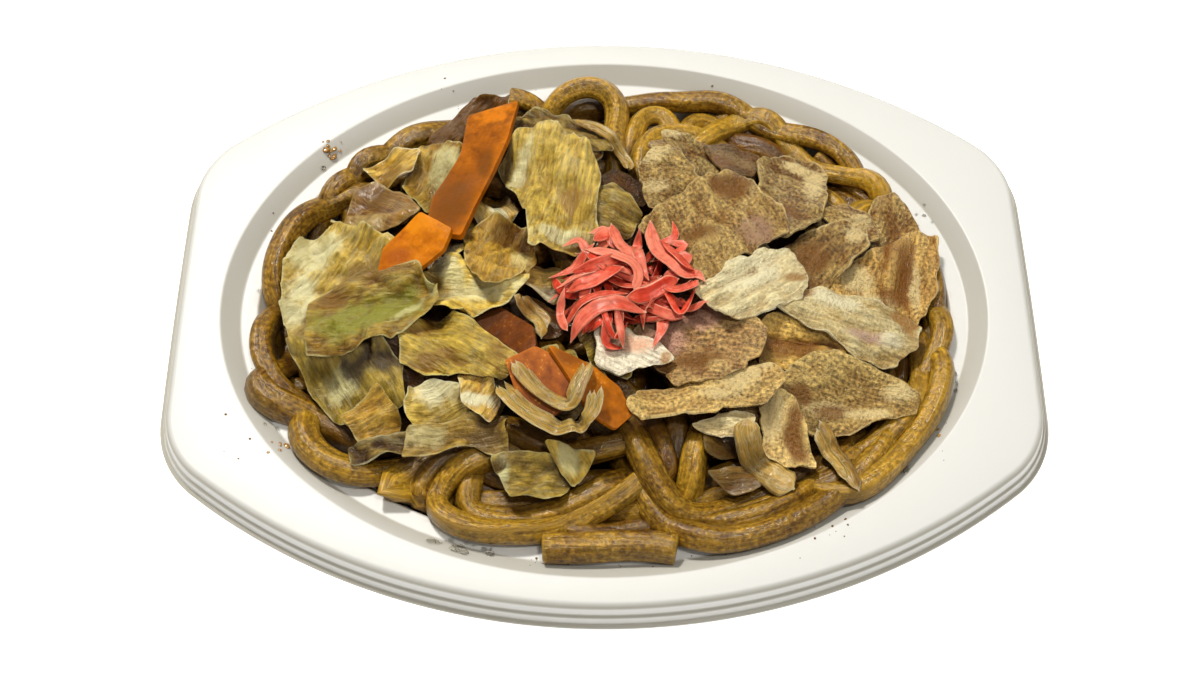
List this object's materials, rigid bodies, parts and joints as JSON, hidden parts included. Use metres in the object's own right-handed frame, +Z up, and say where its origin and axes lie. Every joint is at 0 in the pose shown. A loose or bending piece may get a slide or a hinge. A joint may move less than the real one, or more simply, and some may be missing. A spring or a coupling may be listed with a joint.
{
  "type": "takeaway tray of yaki udon",
  "caption": "Fried thick udon noodles heaped in an oval white takeaway tray, topped with cabbage, sliced pork, carrot, onion and red pickled ginger.",
  "frame": {"origin": "middle of the tray's flat underside, at the height of the table it stands on", "axes": "+X along the tray's long side to the right, +Y away from the viewer's near edge, +Z up"},
  "size_m": [0.2472, 0.1902, 0.0644],
  "materials": {
    "tray_foam": "white foamed plastic, satin",
    "noodle": "wheat noodle glazed with brown sauce",
    "cabbage": "fried pale cabbage, moist",
    "cabbage_green": "fried green cabbage, moist and stained brown",
    "pork": "fried thin pork, grey brown with pale fat",
    "carrot": "fried carrot slice, moist",
    "onion": "fried onion, translucent",
    "pickled_ginger": "red pickled ginger shred, moist"
  },
  "bodies": {
    "root": {"cabbage_by_ginger": "cabbage", "cabbage_crumpled": "cabbage", "cabbage_curl": "cabbage", "cabbage_curled": "cabbage", "cabbage_far": "cabbage", "cabbage_gap": "cabbage", "cabbage_left": "cabbage", "cabbage_middle": "cabbage", "cabbage_near": "cabbage", "cabbage_slip": "cabbage", "cabbage_top": "cabbage", "carrot_bright": "carrot", "carrot_dark": "carrot", "carrot_long": "carrot", "carrot_speckled": "carrot", "carrot_streak": "carrot", "ginger": "pickled_ginger", "leaf_back": "cabbage_green", "leaf_brown": "cabbage_green", "leaf_dark": "cabbage_green", "leaf_far_brown": "cabbage_green", "leaf_far_left": "cabbage_green", "leaf_green": "cabbage_green", "leaf_low_left": "cabbage_green", "leaf_low_tip": "cabbage_green", "leaf_near": "cabbage_green", "leaf_speckled": "cabbage_green", "leaf_square": "cabbage_green", "leaf_stained": "cabbage_green", "noodles": "noodle", "onion_bed": "onion", "onion_browned": "onion", "onion_inner_arc": "onion", "onion_left_of_ginger": "onion", "onion_low_right": "onion", "onion_near_right": "onion", "onion_outer_arc": "onion", "onion_pale_curl": "onion", "onion_rib": "onion", "onion_right_strand": "onion", "pork_big": "pork", "pork_browned": "pork", "pork_dark": "pork", "pork_edge": "pork", "pork_fan": "pork", "pork_far": "pork", "pork_far_right": "pork", "pork_fat": "pork", "pork_fat_strip": "pork", "pork_long": "pork", "pork_loop_side": "pork", "pork_low": "pork", "pork_low_right": "pork", "pork_lump": "pork", "pork_pink": "pork", "pork_right": "pork", "pork_right_far": "pork", "pork_upper": "pork", "pork_yellow": "pork", "tray": "tray_foam"}
  },
  "joints": []
}
